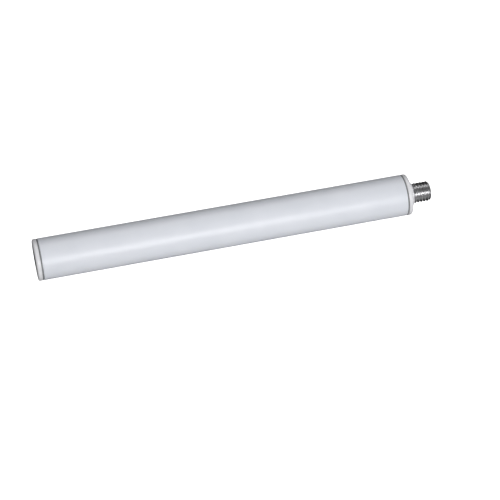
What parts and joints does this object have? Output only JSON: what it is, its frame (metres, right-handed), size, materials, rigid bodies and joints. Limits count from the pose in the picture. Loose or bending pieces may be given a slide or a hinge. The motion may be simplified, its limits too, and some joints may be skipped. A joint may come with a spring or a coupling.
{
  "type": "led light tube",
  "caption": "Round opal light tube with white end caps and thin grey seals; a threaded stud on one end, a matching threaded socket, button and charging port in the other.",
  "frame": {"origin": "on the tube's axis, in the plane of the shoulder that the stud stands on", "axes": "+X out along the stud, so the tube runs along -X; +Z the way the light strip faces"},
  "size_m": [0.3192, 0.033, 0.033],
  "materials": {
    "opal_tube": "satin opal polycarbonate",
    "white_cap": "satin white moulding",
    "grey_seal": "matt silicone",
    "steel": "machined, bright",
    "black_steel": "black oxide",
    "zinc_screw": "zinc plated",
    "aluminium": "extruded, plain",
    "led_board": "white solder mask",
    "grey_plastic": "fine texture",
    "battery_cell": "shrink-wrapped",
    "nickel": "nickel plated",
    "circuit_board": "solder mask",
    "black_component": "moulded",
    "red_wire": "insulated",
    "black_wire": "insulated"
  },
  "bodies": {
    "tube": {"diffuser_tube": "opal_tube", "socket_end_cap": "white_cap", "stud_end_cap": "white_cap", "socket_seal_ring": "grey_seal", "stud_seal_ring": "grey_seal", "threaded_stud": "steel", "threaded_socket": "black_steel", "socket_screw_left": "zinc_screw", "socket_screw_right": "zinc_screw", "stud_screw_left": "zinc_screw", "stud_screw_right": "zinc_screw", "socket_cap_screw_left": "zinc_screw", "socket_cap_screw_right": "zinc_screw", "stud_cap_screw_left": "zinc_screw", "stud_cap_screw_right": "zinc_screw", "led_carrier": "aluminium", "led_board": "led_board", "battery_tray": "grey_plastic", "battery_cell_a": "battery_cell", "battery_cell_b": "battery_cell", "battery_contact_positive": "nickel", "battery_contact_negative": "nickel", "driver_board": "circuit_board", "driver_inductor": "black_component", "driver_chip": "black_component", "driver_capacitor": "aluminium", "usb_port_shell": "nickel", "usb_port_tongue": "black_component", "button_spring": "steel", "button_switch": "black_component", "battery_lead_positive": "red_wire", "battery_lead_negative": "black_wire", "led_lead_positive": "red_wire", "led_lead_negative": "black_wire"},
    "button": {"power_button": "grey_plastic", "button_switch_plunger": "nickel"}
  },
  "joints": [
    {"name": "button_press", "type": "slide", "parent": "tube", "child": "button", "axis": [1, 0, 0], "range_m": [0, 0.0005], "stiffness_N_per_m": 1500, "springref_m": -0.001, "deforming": ["button_spring"]}
  ]
}
